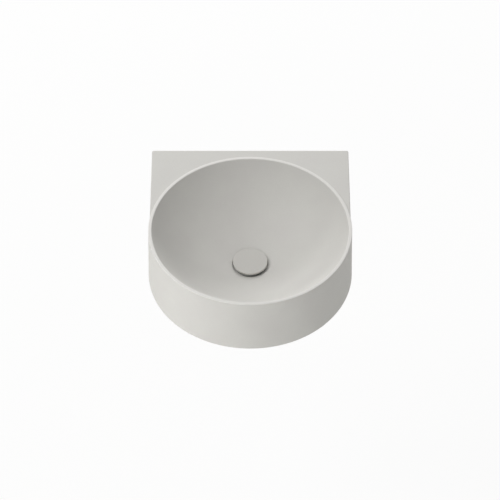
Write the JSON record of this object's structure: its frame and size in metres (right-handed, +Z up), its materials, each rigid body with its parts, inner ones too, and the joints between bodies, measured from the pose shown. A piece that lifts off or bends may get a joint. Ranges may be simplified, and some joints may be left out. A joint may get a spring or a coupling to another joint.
{
  "type": "wall hung basin",
  "caption": "Round thin-rimmed ceramic basin with a square back deck, hung on wall bolts, open underneath, with a raised push-to-close ceramic waste cap.",
  "frame": {"origin": "on the wall plane, midway between the two wall bolts", "axes": "+Z up, +Y into the wall, +X to the right as seen from the front; the basin reaches towards -Y and the bowl's axis is upright at y = -0.2305 m"},
  "size_m": [0.4253, 0.5032, 0.1914],
  "materials": {
    "basin_ceramic": "matt warm light-grey glaze",
    "cap_ceramic": "matt warm light-grey glaze",
    "brass": "turned brass",
    "chromed_brass": "chromed casting, turned flange",
    "rubber": "moulded black rubber",
    "inner_plastic": "moulded acetal",
    "steel": "stainless",
    "spring_steel": "stainless spring wire",
    "slip_plastic": "moulded polyethylene",
    "bush_plastic": "moulded nylon",
    "zinc_steel": "bright zinc plate"
  },
  "bodies": {
    "basin": {"basin_body": "basin_ceramic", "waste_body": "chromed_brass", "flange_gasket": "rubber", "bottom_washer": "rubber", "slip_washer": "slip_plastic", "back_nut": "brass", "cartridge_barrel": "brass", "cartridge_gland": "brass", "lock_nut": "brass", "return_spring": "spring_steel", "wall_bolts": "zinc_steel", "bolt_bushes": "bush_plastic", "bolt_washers": "zinc_steel", "bolt_nuts": "zinc_steel"},
    "plunger": {"waste_cap": "cap_ceramic", "cap_carrier": "brass", "cap_seal": "rubber", "plunger_spindle": "brass", "index_crown": "inner_plastic", "thrust_washer": "steel"},
    "rotor": {"index_rotor": "inner_plastic"}
  },
  "joints": [
    {"name": "cap_push", "type": "slide", "parent": "basin", "child": "plunger", "axis": [0, 0, 1], "range_m": [-0.0045, 0], "stiffness_N_per_m": 500, "springref_m": 0.012, "deforming": ["return_spring"]},
    {"name": "rotor_turn", "type": "hinge", "parent": "plunger", "child": "rotor", "pos_m": [0, -0.2305, -0.05], "axis": [0, 0, 1], "range_deg": [0, 22.5]}
  ],
  "couplings": [
    {"joint": "rotor_turn", "follows": "cap_push", "rad_per_m": -87.2}
  ]
}
